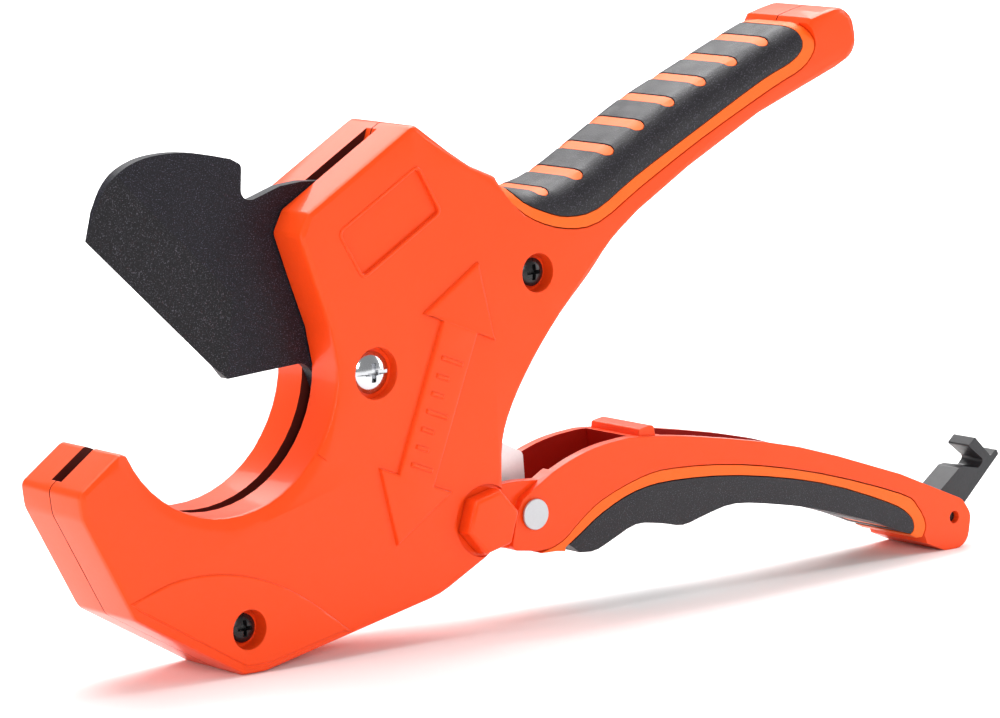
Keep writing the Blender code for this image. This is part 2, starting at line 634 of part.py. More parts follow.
def blade_pivot():
    near, far = -BODY_HALF, BODY_HALF
    seat, nut_seat = near + 3.0, far - 4.2
    shank = PIVOT_SCREW_RADIUS
    finish(turned("blade_pivot_screw", [
        (0.0, near + 0.9), (2.6, near + 1.0), (4.4, near + 1.5), (PIVOT_HEAD_RADIUS, near + 2.2),
        (PIVOT_HEAD_RADIUS, seat - GAP), (shank, seat - GAP), (shank, far - 1.4),
        (0.0, far - 1.4)], 0.0, 0.0), CHROME)
    nut = rod("blade_pivot_nut", 0.0, 0.0, nut_seat + GAP, far - 1.0, PIVOT_HEAD_RADIUS, 6)
    cut(nut, rod("pivot_nut_bore", 0.0, 0.0, 0.0, far - 1.0 + 3.0, shank + 0.2))
    finish(nut, ZINC)
    bush = rod("blade_pivot_bush", 0.0, 0.0, -SLOT_HALF + GAP, SLOT_HALF - GAP, BUSH_RADIUS)
    cut(bush, rod("bush_bore", 0.0, 0.0, -9.0, 9.0, shank + GAP))
    finish(bush, ZINC)


def body_screw(tag, centre):
    """Cross-head screw from the near side and its nut on the far side."""
    seat = -BODY_HALF + 4.0 - GAP
    finish(turned(f"{tag}_body_screw", [
        (0.0, seat - 2.3), (1.8, seat - 2.2), (3.0, seat - 1.7), (BODY_HEAD_RADIUS, seat - 0.9),
        (BODY_HEAD_RADIUS, seat), (BODY_SCREW_RADIUS, seat), (BODY_SCREW_RADIUS, BODY_HALF - 1.4),
        (0.0, BODY_HALF - 1.4)], *centre, 20), BLACK_OXIDE)
    nut = rod(f"{tag}_body_nut", *centre, BODY_HALF - 4.0 + GAP, BODY_HALF - 1.0,
              BODY_HEAD_RADIUS + 0.4, 6)
    cut(nut, rod(f"{tag}_nut_bore", *centre, 0.0, BODY_HALF + 2.0, BODY_SCREW_RADIUS + 0.2))
    finish(nut, BLACK_OXIDE)


def blade_return_spring():
    """Extension spring from the blade's pin to a post in the far casting."""
    finish(rod("blade_spring_pin", *BLADE_PIN, -BLADE_HALF, SPRING_Y + 2.2, 1.3, 20),
           ZINC, pivot=(0.0, 0.0))
    finish(rod("spring_post", *SPRING_POST, SLOT_HALF + GAP, BODY_HALF - 3.0,
               SPRING_POST_RADIUS, 20), ZINC)
    start, end = Vector(BLADE_PIN), Vector(SPRING_POST)
    run = (end - start).normalized()
    side = Vector((-run.y, run.x))
    turns, per_turn, coil = 9, 8, 1.75
    first, last = start + run * 5.0, end - run * 5.0
    points = [(start + run * 2.4), (start + run * 4.2)]
    points = [(p.x, SPRING_Y, p.y) for p in points]
    for k in range(turns * per_turn + 1):
        t = k / (turns * per_turn)
        angle = 2 * math.pi * turns * t
        place = first.lerp(last, t) + side * (coil * math.cos(angle))
        points.append((place.x, SPRING_Y + coil * math.sin(angle), place.y))
    points += [(p.x, SPRING_Y, p.y) for p in (end - run * 4.2, end - run * 2.6)]
    spring = wire("blade_return_spring", points, 0.38, 0)
    spring.location = world(0.0, 0.0)
    finish(spring, SPRING_STEEL)


# ---- lever ------------------------------------------------------------------
def lever_outline():
    """Side of the moving handle, with the metal under its grip set back."""
    top = smooth(lever_points([(56.4, -32.0), (62.7, -29.4), (70.0, -27.3), (78.0, -26.2),
                               (86.0, -26.1), (106.3, -28.5), (141.0, -35.3), (177.0, -46.9)]))
    tail = lever_points([(199.9, -56.6, 4.0), (203.0, -61.0, 4.0), (201.6, FOOT_Z, 5.0),
                         (193.2, FOOT_Z, 3.0)])
    front = [(43.2, -50.4, 1.5), (44.8, -42.0, 2.0), (46.8, -37.6, 2.0)]
    return rounded([*top, *tail, *LEVER_CORE[::-1], *front])


def lever():
    half = LEVER_HALF
    body = plate("lever", lever_outline(), -half, half, edge=1.2)
    ear = [*arc(LEVER_PIVOT, EAR_RADIUS, 96.0, 284.0, 18), (44.0, -50.2), (60.0, -50.6),
           (60.0, -34.0), (47.0, -33.1)]
    cut(body, plate("lever_ears", ear, -EAR_HALF, EAR_HALF, edge=0.4), "UNION")
    bridge = rounded([(86.0, -31.0), (86.8, -24.4, 0.8), (91.6, -23.6, 1.2), (93.0, -31.0)])
    cut(body, plate("lever_bridge", bridge, -half + 1.6, half - 1.6), "UNION")
    web = LEVER_WALL
    upper = [(57.5, -10.0), (57.5, -45.0), *beside(LEVER_GRIP_LINE[9:-10], web),
             *lever_points([(190.5, -56.0), (192.5, FOOT_Z + web), (210.0, FOOT_Z + web),
                            (210.0, -10.0)])]
    under_bridge = [(84.0, -10.0), (84.0, -31.5), (95.0, -31.5), (95.0, -10.0)]
    trough = plate("lever_trough", upper, -half + web, half - web)
    cut(trough, plate("bridge_keep", under_bridge, -half, half))
    cut(body, trough)
    deep = [(30.0, -20.0), (30.0, -47.0), (56.0, -47.8), (64.0, -46.5), (74.0, -42.6),
            (86.0, -41.3), (100.0, -40.6), (120.0, -40.8)]
    deep += lever_points([(140.5, -44.1), (160.0, -49.2), (176.0, -54.6), (186.0, -60.0),
                          (192.5, FOOT_Z + web), (210.0, FOOT_Z + web), (210.0, -20.0)])
    deep_trough = plate("lever_deep_trough", deep, -half + CORE_INSET + web - 0.6,
                        half - CORE_INSET - web + 0.6)
    cut(deep_trough, plate("bridge_keep_deep", under_bridge, -half, half))
    cut(body, deep_trough)
    ears_inside = [(20.0, -20.0), (20.0, -60.0), (40.0, -60.0), (40.0, -47.2), (58.0, -47.2),
                   (58.0, -20.0)]
    cut(body, plate("lever_between_ears", ears_inside, -EAR_HALF + LEVER_WALL,
                    EAR_HALF - LEVER_WALL))
    grip = [*LEVER_GRIP_LINE, *lever_points([(186.0, -80.0)]), (50.0, -80.0)]
    for side in (-1, 1):
        y = sorted((side * (half - CORE_INSET), side * (half + 2.0)))
        cut(body, plate(f"lever_grip_seat_{side}", grip, *y))
    cut(body, rod("lever_bolt_bore", *LEVER_PIVOT, -30.0, 30.0, BOLT_RADIUS + GAP))
    cut(body, rod("lever_rivet_bore", *PAWL_PIVOT, -30.0, 30.0, RIVET_RADIUS + GAP))
    latch_at = lever_points([LATCH_PIVOT])[0]
    cut(body, rod("lever_latch_bore", *latch_at, -30.0, 30.0, LATCH_PIN_RADIUS + GAP, 20))
    return finish(body, PAINT, pivot=LEVER_PIVOT)


def lever_pivot():
    """Hex bolt from the near side, cap nut on the far side, sleeve between the ears."""
    seat = BODY_HALF - HEX_SUNK + GAP
    top = BODY_HALF + HEX_PROUD
    bolt = rod("lever_pivot_bolt", *LEVER_PIVOT, -top, -seat, HEX_RADIUS, 6, -17.0, edge=1.3)
    cut(bolt, rod("bolt_shank", *LEVER_PIVOT, -seat - 1.0, top - 2.4, BOLT_RADIUS), "UNION")
    finish(bolt, PAINT)
    nut = rod("lever_pivot_nut", *LEVER_PIVOT, -top, -seat, HEX_RADIUS, 6, 17.0, edge=1.3)
    nut.data.transform(Matrix.Rotation(math.pi, 4, "Z"))
    nut.location.y = -nut.location.y
    cut(nut, rod("pivot_nut_blind", *LEVER_PIVOT, 0.0, top - 2.0, BOLT_RADIUS + GAP))
    finish(nut, PAINT)
    inside = EAR_HALF - LEVER_WALL - GAP
    turns, per_turn, wire_radius = 3.25, 12, 0.4
    sleeve = rod("lever_pivot_sleeve", *LEVER_PIVOT, -inside, inside, BOLT_RADIUS + 1.8)
    cut(sleeve, rod("sleeve_bore", *LEVER_PIVOT, -20.0, 20.0, BOLT_RADIUS + GAP))
    finish(sleeve, ZINC)
    coil = BOLT_RADIUS + 1.8 + GAP + 0.5
    first, last = -inside + wire_radius + 0.5, -PAWL_HALF
    points = []
    for k in range(round(turns * per_turn) + 1):
        angle = math.radians(200.0 - 360.0 / per_turn * k)
        points.append((LEVER_PIVOT[0] + coil * math.cos(angle),
                       first + (last - first) * k / (turns * per_turn),
                       LEVER_PIVOT[1] + coil * math.sin(angle)))
    spring = wire("lever_return_spring", points, wire_radius, 0)
    spring.location = world(0.0, 0.0)
    finish(spring, SPRING_STEEL)


def drive_pawl_outline():
    boss = arc(PAWL_PIVOT, 5.2, 20.0, -150.0, 16)
    return rounded([(25.4, -13.9), (27.0, -13.9), (54.3, -27.5, 1.4), *boss, (41.5, -33.0, 4.0),
                    (28.0, -20.5, 3.0)])


def drive_pawl():
    pawl = plate("drive_pawl", drive_pawl_outline(), -PAWL_HALF, PAWL_HALF)
    cut(pawl, rod("drive_pawl_bore", *PAWL_PIVOT, -9.0, 9.0, RIVET_RADIUS + GAP))
    finish(pawl, ZINC, pivot=PAWL_PIVOT)
    face = LEVER_HALF + GAP
    rivet = rod("pawl_rivet", *PAWL_PIVOT, -face - 0.8, -face, RIVET_HEAD)
    cut(rivet, rod("rivet_shank", *PAWL_PIVOT, -face - 0.4, face + 0.4, RIVET_RADIUS), "UNION")
    cut(rivet, rod("rivet_far_head", *PAWL_PIVOT, face, face + 0.8, RIVET_HEAD), "UNION")
    finish(rivet, CHROME)
    inside = EAR_HALF - LEVER_WALL - GAP
    spacer = rod("pawl_spacer", *PAWL_PIVOT, -inside, -PAWL_HALF - GAP, RIVET_RADIUS + 1.8)
    cut(spacer, rod("spacer_bore", *PAWL_PIVOT, -20.0, 20.0, RIVET_RADIUS + GAP))
    finish(spacer, ZINC)
    coil, wire_radius = RIVET_RADIUS + GAP + 0.9, 0.4
    low = PAWL_HALF + GAP + wire_radius + 0.1
    high = inside - wire_radius
    turns, per_turn = max(1, round((high - low) / 0.9)), 12
    points = [(47.4, -0.2, -23.1), (47.5, PAWL_HALF - 0.6, -23.0), (47.7, low, -23.5),
              (50.0, low, -32.0)]
    for k in range(turns * per_turn - 1):
        angle = math.radians(20.0 + 360.0 / per_turn * k)
        points.append((PAWL_PIVOT[0] + coil * math.cos(angle),
                       low + (high - low) * k / (turns * per_turn),
                       PAWL_PIVOT[1] + coil * math.sin(angle)))
    spring = wire("drive_pawl_spring", points, wire_radius, 0)
    spring.location = world(0.0, 0.0)
    finish(spring, BLACK_OXIDE)


def holding_pawl():
    outline = rounded([*arc(HOLD_PIVOT, 4.2, 150.0, 320.0, 14), (9.0, -33.4, 2.0),
                       (16.6, -26.6, 0.6), (13.8, -25.8), (6.0, -30.2, 4.0)])
    pawl = plate("holding_pawl", outline, -BLADE_HALF, BLADE_HALF)
    cut(pawl, rod("holding_pawl_bore", *HOLD_PIVOT, -9.0, 9.0, HOLD_PIN_RADIUS + GAP))
    finish(pawl, ZINC, pivot=HOLD_PIVOT)
    finish(rod("holding_pawl_pin", *HOLD_PIVOT, -6.0, 6.0, HOLD_PIN_RADIUS, 24), ZINC)
    points = [(8.0 + 1.2 * math.cos(0.8 * k), 1.2 * math.sin(0.8 * k), -48.8 + 0.26 * k)
              for k in range(50)]
    spring = wire("holding_pawl_spring", points, 0.3, 0)
    spring.location = world(0.0, 0.0)
    finish(spring, SPRING_STEEL)


def latch():
    at = lever_points([LATCH_PIVOT])[0]
    hook = plate("latch_hook", latch_outline(), -LATCH_HALF, LATCH_HALF)
    cut(hook, rod("latch_bore", *at, -20.0, 20.0, LATCH_PIN_RADIUS + GAP, 20))
    finish(hook, BLACK_PLASTIC, pivot=at)
    finish(rod("latch_pin", *at, -LEVER_HALF + 1.6, LEVER_HALF - 1.6, LATCH_PIN_RADIUS, 20), ZINC)


# ---- grips --------------------------------------------------------------------
def stripe_places(line, start_x, end_x):
    """Points along a line at the stripe pitch, with the line's direction there."""
    result, travelled = [], None
    for a, b in zip(line, line[1:]):
        if travelled is None:
            if b[0] < start_x:
                continue
            travelled = STRIPE_PITCH
        step = math.dist(a, b)
        travelled += step
        while travelled >= STRIPE_PITCH and b[0] <= end_x:
            travelled -= STRIPE_PITCH
            t = 1.0 - travelled / step if travelled < step else 0.0
            place = Vector(a).lerp(Vector(b), t)
            result.append((place, (Vector(b) - Vector(a)).normalized()))
    return result


def under_crown(line, depth, grow, outward):
    """Area below a grip's outer line, by `depth`, with upright ends."""
    line = beside(line, -depth * outward)
    (x0, z0), (x1, z1) = line[0], line[-1]
    if grow < 1.0:
        line = line[1:-1]
    deep = 30.0 * outward
    return [(x0 - grow, z0 - deep), (x0 - grow, z0), *line, (x1 + grow, z1),
            (x1 + grow, z1 - deep)]


def stripe_block(name, place, run, across, width, reach, low, high):
    """Bar with round ends, lying across the grip."""
    radius = width / 2
    ends = [(*centre, start) for centre, start in
            (((0.0, reach - radius), 0.0), ((0.0, -reach + radius), 180.0))]
    outline = [p for x, y, start in ends for p in arc((x, y), radius, start, start + 180.0, 6)]
    curve = bpy.data.curves.new(name, "CURVE")
    curve.dimensions = "2D"
    curve.fill_mode = "BOTH"
    curve.extrude = (high - low) / 2 * MM
    spline = curve.splines.new("POLY")
    spline.points.add(len(outline) - 1)
    for point, (u, v) in zip(spline.points, outline):
        point.co = (u * MM, v * MM, 0.0, 1.0)
    spline.use_cyclic_u = True
    axes = Matrix(((run.x, 0.0, across.x), (0.0, 1.0, 0.0), (run.y, 0.0, across.y)))
    if axes.determinant() < 0:
        axes = axes @ Matrix.Diagonal((-1.0, 1.0, 1.0))
    block = new_object(name, curve_to_mesh(name, curve, axes.to_4x4()))
    centre = place + across * (low + high) / 2
    block.location = world(centre.x, centre.y)
    return block


def grip(tag, seat_line, pad_line, core_line, crown, half, rounding, stripes, pivot, outward):
    """Plastic carrier clipped over the metal, and the rubber over the carrier.

    `crown` is the grip's outer line, `outward` is +1 where it lies to the left
    of its own direction of travel.
    """
    core_side = half - CORE_INSET + GAP
    seat = beside(seat_line, GAP * outward)
    carrier = plate(f"{tag}_grip_carrier", [*seat, *crown[::-1]], -half + 0.1, half - 0.1)
    core = beside(core_line, GAP * outward)
    (first_x, first_z), (last_x, last_z) = core[0], core[-1]
    inward_z = -50.0 * outward
    core += [(last_x + 20.0, last_z), (last_x + 20.0, last_z + inward_z),
             (first_x - 20.0, first_z + inward_z), (first_x - 20.0, first_z)]
    core_space = plate(f"{tag}_core_space", core, -core_side, core_side)
    cut(carrier, core_space)
    covered = [p for p in crown if pad_line[0][0] + 1.0 < p[0] < pad_line[-1][0] - 1.0]
    beyond = [pad_line[-1], *covered[::-1], pad_line[0]]
    space = plate(f"{tag}_pad_room", [*pad_line, *[(x, z + 16.0 * outward) for x, z in beyond]],
                  -half - 2.0, half + 2.0)
    inner = [p for p in crown if pad_line[0][0] + 4.0 < p[0] < pad_line[-1][0] - 1.5]
    block = under_crown(inner, PAD_DEPTH, 0.0, outward)
    cut(space, plate(f"{tag}_carrier_left", block, -half + PAD_DEPTH, half - PAD_DEPTH,
                     edge=rounding - PAD_DEPTH, steps=3))
    cut(carrier, space)
    pad_edge = beside(pad_line, GAP * outward)
    pad = plate(f"{tag}_grip_pad", [*pad_edge[1:-1], *covered[::-1]], -half, half)
    room = under_crown(inner, PAD_DEPTH - GAP, GAP, outward)
    cut(pad, plate(f"{tag}_pad_space", room, -half + PAD_DEPTH - GAP, half - PAD_DEPTH + GAP,
                   edge=rounding - PAD_DEPTH + GAP, steps=3))
    cut(pad, core_space)
    for k, (place, run) in enumerate(stripes):
        across = Vector((-run.y, run.x)) * outward
        for target, grow in ((pad, GAP), (carrier, 0.0)):
            cut(target, stripe_block(f"{target.name}_stripe_{k}", place, run, across,
                                     STRIPE_WIDTH + 2 * grow, half - 2.6 + grow,
                                     -PAD_DEPTH - 1.0, 3.0 * (target is pad)),
                "DIFFERENCE" if target is pad else "UNION")
    for target, sunk, width in ((pad, 0.0, half), (carrier, STRIPE_SUNK, half - 0.1)):
        cut(target, plate(f"{target.name}_crown", under_crown(crown, sunk, 12.0, outward),
                          -width, width, edge=rounding, steps=5), "INTERSECT")
    finish(carrier, ORANGE_PLASTIC, pivot=pivot)
    finish(pad, RUBBER, pivot=pivot)


def main():
    body_casting("body_near", -1)
    body_casting("body_far", 1)
    blade()
    blade_pivot()
    for tag, centre in BODY_SCREWS.items():
        body_screw(tag, centre)
    blade_return_spring()
    lever()
    lever_pivot()
    drive_pawl()
    holding_pawl()
    latch()
    handle_end = handle_points([(131.0, 0.0)])[0][0]
    grip("handle", GRIP_LINE, PAD_LINE, HANDLE_CORE, CROWN, BODY_HALF, HANDLE_CROWN,
         stripe_places(CROWN, 57.0, handle_end), None, 1)
    lever_end = lever_points([(177.0, 0.0)])[0][0]
    grip("lever", LEVER_GRIP_LINE, LEVER_PAD_LINE, LEVER_CORE, FINGER_SIDE, LEVER_HALF, LEVER_CROWN,
         stripe_places(FINGER_SIDE, 119.9, lever_end), LEVER_PIVOT, -1)


main()
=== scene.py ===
"""Looks of a ratcheting pipe cutter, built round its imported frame.

The sections follow the tool as it is put together: the studio, the castings,
the blade, the screws, the lever with its pawl and latch, and the two grips.
"""
import math

import bmesh
import bpy
from mathutils import Matrix, Vector


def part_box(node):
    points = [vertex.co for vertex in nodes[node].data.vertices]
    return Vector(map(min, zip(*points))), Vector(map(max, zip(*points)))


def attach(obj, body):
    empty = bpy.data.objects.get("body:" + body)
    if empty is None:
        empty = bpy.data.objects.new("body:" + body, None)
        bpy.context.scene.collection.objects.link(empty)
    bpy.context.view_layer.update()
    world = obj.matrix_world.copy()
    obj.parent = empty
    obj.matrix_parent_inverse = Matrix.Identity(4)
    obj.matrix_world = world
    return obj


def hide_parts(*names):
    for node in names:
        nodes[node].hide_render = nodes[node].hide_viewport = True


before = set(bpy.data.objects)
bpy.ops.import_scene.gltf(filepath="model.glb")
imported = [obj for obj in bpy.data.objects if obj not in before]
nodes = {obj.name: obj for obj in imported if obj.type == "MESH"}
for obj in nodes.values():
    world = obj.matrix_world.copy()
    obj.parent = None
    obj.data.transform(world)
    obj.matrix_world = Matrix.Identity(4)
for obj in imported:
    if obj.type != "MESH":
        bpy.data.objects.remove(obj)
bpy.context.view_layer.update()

# ---- camera ------------------------------------------------------------------
# A long lens from the near left, a little above the tool and very slightly rolled,
# on a full-frame camera.
AIM = Vector((-0.016934, 0.0, 0.06692))
DISTANCE, AZIMUTH, ELEVATION, ROLL = 1.27424, 38.15, 8.67, -0.93
FOCAL_LENGTH, SENSOR_WIDTH = 180.3, 36.0
NEAREST, FARTHEST = 0.05, 50.0

az, el, roll = (math.radians(a) for a in (AZIMUTH, ELEVATION, ROLL))
ahead = Vector((math.sin(az) * math.cos(el), math.cos(az) * math.cos(el), -math.sin(el)))
right = ahead.cross(Vector((0.0, 0.0, 1.0))).normalized()
up = right.cross(ahead)
right, up = (right * math.cos(roll) + up * math.sin(roll),
             up * math.cos(roll) - right * math.sin(roll))
lens = bpy.data.cameras.new("studio_camera")
lens.lens = FOCAL_LENGTH
lens.sensor_width = SENSOR_WIDTH
lens.clip_start, lens.clip_end = NEAREST, FARTHEST
camera = bpy.data.objects.new("studio_camera", lens)
camera.matrix_world = (Matrix.Translation(AIM - ahead * DISTANCE)
                       @ Matrix((right, up, -ahead)).transposed().to_4x4())
bpy.context.scene.collection.objects.link(camera)
bpy.context.scene.camera = camera
bpy.context.scene.view_settings.view_transform = "Standard"

# ---- studio ------------------------------------------------------------------
# A white table under one large overhead softbox, with a fill in front, a strip on each
# side to light the edges, and a wide lamp for the table behind the tool.
FLOOR_SIZE = 16.0
TABLE_SHADE = 0.96
ROOM_LIGHT = 0.38


def shader_of(name):
    """A new node material and its principled shader."""
    made = bpy.data.materials.new(name)
    made.use_nodes = True
    return made, made.node_tree.nodes["Principled BSDF"]


def softbox(name, place, aim, size, watts):
    """A rectangular lamp at a place, facing its aim."""
    light = bpy.data.lights.new(name, "AREA")
    light.shape = "RECTANGLE"
    light.size, light.size_y = size
    light.energy = watts
    lamp = bpy.data.objects.new(name, light)
    lamp.location = place
    lamp.rotation_euler = (Vector(aim) - Vector(place)).to_track_quat("-Z", "Y").to_euler()
    bpy.context.scene.collection.objects.link(lamp)


floor_mesh = bpy.data.meshes.new("studio_floor")
bm = bmesh.new()
bmesh.ops.create_grid(bm, x_segments=1, y_segments=1, size=FLOOR_SIZE / 2)
bm.to_mesh(floor_mesh)
bm.free()
studio_floor = bpy.data.objects.new("studio_floor", floor_mesh)
bpy.context.scene.collection.objects.link(studio_floor)
table_white, table_shader = shader_of("table_white")
table_shader.inputs["Base Color"].default_value = (*[TABLE_SHADE] * 3, 1.0)
table_shader.inputs["Roughness"].default_value = 0.6
table_shader.inputs["Specular IOR Level"].default_value = 0.2
floor_mesh.materials.append(table_white)

softbox("overhead", (0.1, 0.2, 1.4), (0.05, 0.0, 0.05), (1.5, 1.2), 19.0)
softbox("front_fill", (-0.9, -1.8, 0.8), (0.0, 0.0, 0.06), (0.6, 0.5), 14.5)
softbox("left_edge", (-1.4, 0.1, 0.45), (-0.05, 0.0, 0.07), (0.35, 1.0), 7.5)
softbox("right_edge", (1.5, -0.9, 0.5), (0.0, 0.0, 0.06), (0.3, 0.9), 6.0)
softbox("backdrop", (1.2, 1.6, 1.6), (1.2, 1.9, 0.0), (2.4, 2.4), 90.0)
sky = bpy.data.worlds.new("white_room")
sky.use_nodes = True
sky.node_tree.nodes["Background"].inputs["Color"].default_value = (1.0, 1.0, 1.0, 1.0)
sky.node_tree.nodes["Background"].inputs["Strength"].default_value = ROOM_LIGHT
bpy.context.scene.world = sky


# ---- body castings -----------------------------------------------------------
# Two die-cast halves with a raised scale arrow and a sunk panel, sprayed with a glossy
# orange enamel and screwed together at two places. The walls inside the blade's slot are
# given a dark red-black, a painted shade standing in for the darkness of the deep narrow gap.
MM = 0.001


def link(tree, source, socket):
    tree.links.new(source, socket)


def fine_texture():
    """Group: the skin of a finish, as a shade of its colour, a roughness and a height.

    A coarse cloud and a fine grain both vary the shade, and the grain's peaks make specks.
    """
    speck_start, speck_full = 0.56, 0.72
    group = bpy.data.node_groups.new("fine_texture", "ShaderNodeTree")
    sockets = group.interface
    for name, kind in (("Colour", "NodeSocketColor"), ("Vary", "NodeSocketFloat"),
                       ("Roughness", "NodeSocketFloat"), ("Spread", "NodeSocketFloat"),
                       ("Grain", "NodeSocketFloat"), ("Cloud", "NodeSocketFloat"),
                       ("Speckle", "NodeSocketFloat")):
        sockets.new_socket(name, in_out="INPUT", socket_type=kind)
    for name, kind in (("Colour", "NodeSocketColor"), ("Roughness", "NodeSocketFloat"),
                       ("Height", "NodeSocketFloat")):
        sockets.new_socket(name, in_out="OUTPUT", socket_type=kind)
    make = group.nodes.new
    inside, outside = make("NodeGroupInput"), make("NodeGroupOutput")
    place = make("ShaderNodeTexCoord")
    grain, cloud = make("ShaderNodeTexNoise"), make("ShaderNodeTexNoise")
    grain.inputs["Detail"].default_value = 3.0
    cloud.inputs["Detail"].default_value = 2.0
    for noise, scale in ((grain, "Grain"), (cloud, "Cloud")):
        link(group, place.outputs["Object"], noise.inputs["Vector"])
        link(group, inside.outputs[scale], noise.inputs["Scale"])
    both = make("ShaderNodeMath")
    both.operation = "ADD"
    link(group, grain.outputs["Fac"], both.inputs[0])
    link(group, cloud.outputs["Fac"], both.inputs[1])
    centred = make("ShaderNodeMath")
    centred.operation = "SUBTRACT"
    link(group, both.outputs[0], centred.inputs[0])
    centred.inputs[1].default_value = 1.0
    shade, gloss, specks = (make("ShaderNodeMath") for _ in range(3))
    for node in (shade, gloss, specks):
        node.operation = "MULTIPLY_ADD"
    link(group, centred.outputs[0], shade.inputs[0])
    link(group, inside.outputs["Vary"], shade.inputs[1])
    shade.inputs[2].default_value = 1.0
    link(group, centred.outputs[0], gloss.inputs[0])
    link(group, inside.outputs["Spread"], gloss.inputs[1])
    link(group, inside.outputs["Roughness"], gloss.inputs[2])
    bright = make("ShaderNodeMapRange")
    bright.inputs["From Min"].default_value = speck_start
    bright.inputs["From Max"].default_value = speck_full
    link(group, grain.outputs["Fac"], bright.inputs["Value"])
    link(group, bright.outputs["Result"], specks.inputs[0])
    link(group, inside.outputs["Speckle"], specks.inputs[1])
    link(group, shade.outputs[0], specks.inputs[2])
    tint = make("ShaderNodeVectorMath")
    tint.operation = "SCALE"
    link(group, inside.outputs["Colour"], tint.inputs[0])
    link(group, specks.outputs[0], tint.inputs["Scale"])
    link(group, tint.outputs[0], outside.inputs["Colour"])
    link(group, gloss.outputs[0], outside.inputs["Roughness"])
    link(group, grain.outputs["Fac"], outside.inputs["Height"])
    return group


SKIN = fine_texture()


def skinned(name, colour, roughness, vary=0.06, spread=0.1, grain=900.0, cloud=40.0,
            bump=0.05, bump_depth=0.0001, metallic=0.0, coat=0.0, coat_roughness=0.1,
            specular=0.5, specular_tint=(1.0, 1.0, 1.0), speckle=0.0):
    """Material whose colour, roughness and relief come from the fine texture."""
    made, shader = shader_of(name)
    tree = made.node_tree
    skin = tree.nodes.new("ShaderNodeGroup")
    skin.node_tree = SKIN
    for socket, value in (("Colour", (*colour, 1.0)), ("Vary", vary), ("Roughness", roughness),
                          ("Spread", spread), ("Grain", grain), ("Cloud", cloud),
                          ("Speckle", speckle)):
        skin.inputs[socket].default_value = value
    relief = tree.nodes.new("ShaderNodeBump")
    relief.inputs["Strength"].default_value = bump
    relief.inputs["Distance"].default_value = bump_depth
    link(tree, skin.outputs["Height"], relief.inputs["Height"])
    link(tree, relief.outputs["Normal"], shader.inputs["Normal"])
    link(tree, skin.outputs["Colour"], shader.inputs["Base Color"])
    link(tree, skin.outputs["Roughness"], shader.inputs["Roughness"])
    for socket, value in (("Metallic", metallic), ("Coat Weight", coat),
                          ("Coat Roughness", coat_roughness), ("Specular IOR Level", specular)):
        shader.inputs[socket].default_value = value
    shader.inputs["Specular Tint"].default_value = (*specular_tint, 1.0)
    return made


ORANGE_ENAMEL = skinned("orange_enamel", (0.86, 0.062, 0.007), 0.36, vary=0.08, spread=0.06,
                        grain=1100.0, cloud=25.0, bump=0.12, coat=0.2, coat_roughness=0.08,
                        specular=0.25, specular_tint=(1.0, 0.72, 0.45))
# Painted shade: a darker enamel for the inside of the lever's trough.
TROUGH_PAINTED_SHADE = skinned("trough_painted_shade", (0.3, 0.006, 0.002), 0.5, vary=0.2, grain=1100.0,
                      cloud=60.0, bump=0.15, specular=0.15)
# Painted shade: a dark red-black for the walls inside the blade's slot.
SLOT_PAINTED_SHADE = skinned("slot_painted_shade", (0.07, 0.007, 0.004), 0.6, vary=0.3, grain=900.0, bump=0.2,
                    specular=0.2)
SLOT_HALF = 2.15
SQUARE_ON = 0.99         # how nearly a wall of the slot faces along Y
WELD = 0.002
FLAT_ANGLE = 0.6         # facets closer than this, in degrees, are one flat
FLAT_WEIGHT = 80


def rounded_copy(name, node, body, material, sharp=35.0, soften=0.0):
    """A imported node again, welded and shaded round, its edges bevelled by `soften` mm."""
    mesh = nodes[node].data.copy()
    mesh.name = name
    if "custom_normal" in mesh.attributes:
        mesh.attributes.remove(mesh.attributes["custom_normal"])
    shape = bmesh.new()
    shape.from_mesh(mesh)
    bmesh.ops.remove_doubles(shape, verts=shape.verts, dist=WELD * MM)
    if soften:
        bmesh.ops.dissolve_limit(shape, angle_limit=math.radians(FLAT_ANGLE), verts=shape.verts,
                                 edges=shape.edges)
    shape.to_mesh(mesh)
    shape.free()
    mesh.materials.clear()
    mesh.materials.append(material)
    for face in mesh.polygons:
        face.use_smooth = True
    mesh.set_sharp_from_angle(angle=math.radians(sharp))
    piece = bpy.data.objects.new(name, mesh)
    bpy.context.scene.collection.objects.link(piece)
    if soften:
        rim = piece.modifiers.new("softened", "BEVEL")
        rim.width = soften * MM
        rim.segments = 2
        rim.limit_method = "ANGLE"
        rim.angle_limit = math.radians(sharp)
        rim.harden_normals = True
        rim.miter_outer = "MITER_ARC"
    flats = piece.modifiers.new("flats", "WEIGHTED_NORMAL")
    flats.keep_sharp = not soften
    flats.weight = FLAT_WEIGHT
    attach(piece, body)
    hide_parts(node)
    return piece


for side in ("near", "far"):
    casting = rounded_copy(f"{side}_casting", f"body_{side}", "body", ORANGE_ENAMEL,
                           sharp=28.0)
    # The slot's walls, facing along Y, take the painted shade.
    casting.data.materials.append(SLOT_PAINTED_SHADE)
    for face in casting.data.polygons:
        if abs(face.center.y) < SLOT_HALF * MM and abs(face.normal.y) > SQUARE_ON:
            face.material_index = 1

# The enamel rounds every edge it covers by a hair.
EDGE_ROUNDING = 0.35
tree = ORANGE_ENAMEL.node_tree
edge = tree.nodes.new("ShaderNodeBevel")
edge.samples = 4
edge.inputs["Radius"].default_value = EDGE_ROUNDING * MM
relief = tree.nodes["Principled BSDF"].inputs["Normal"].links[0].from_node
link(tree, edge.outputs["Normal"], relief.inputs["Normal"])

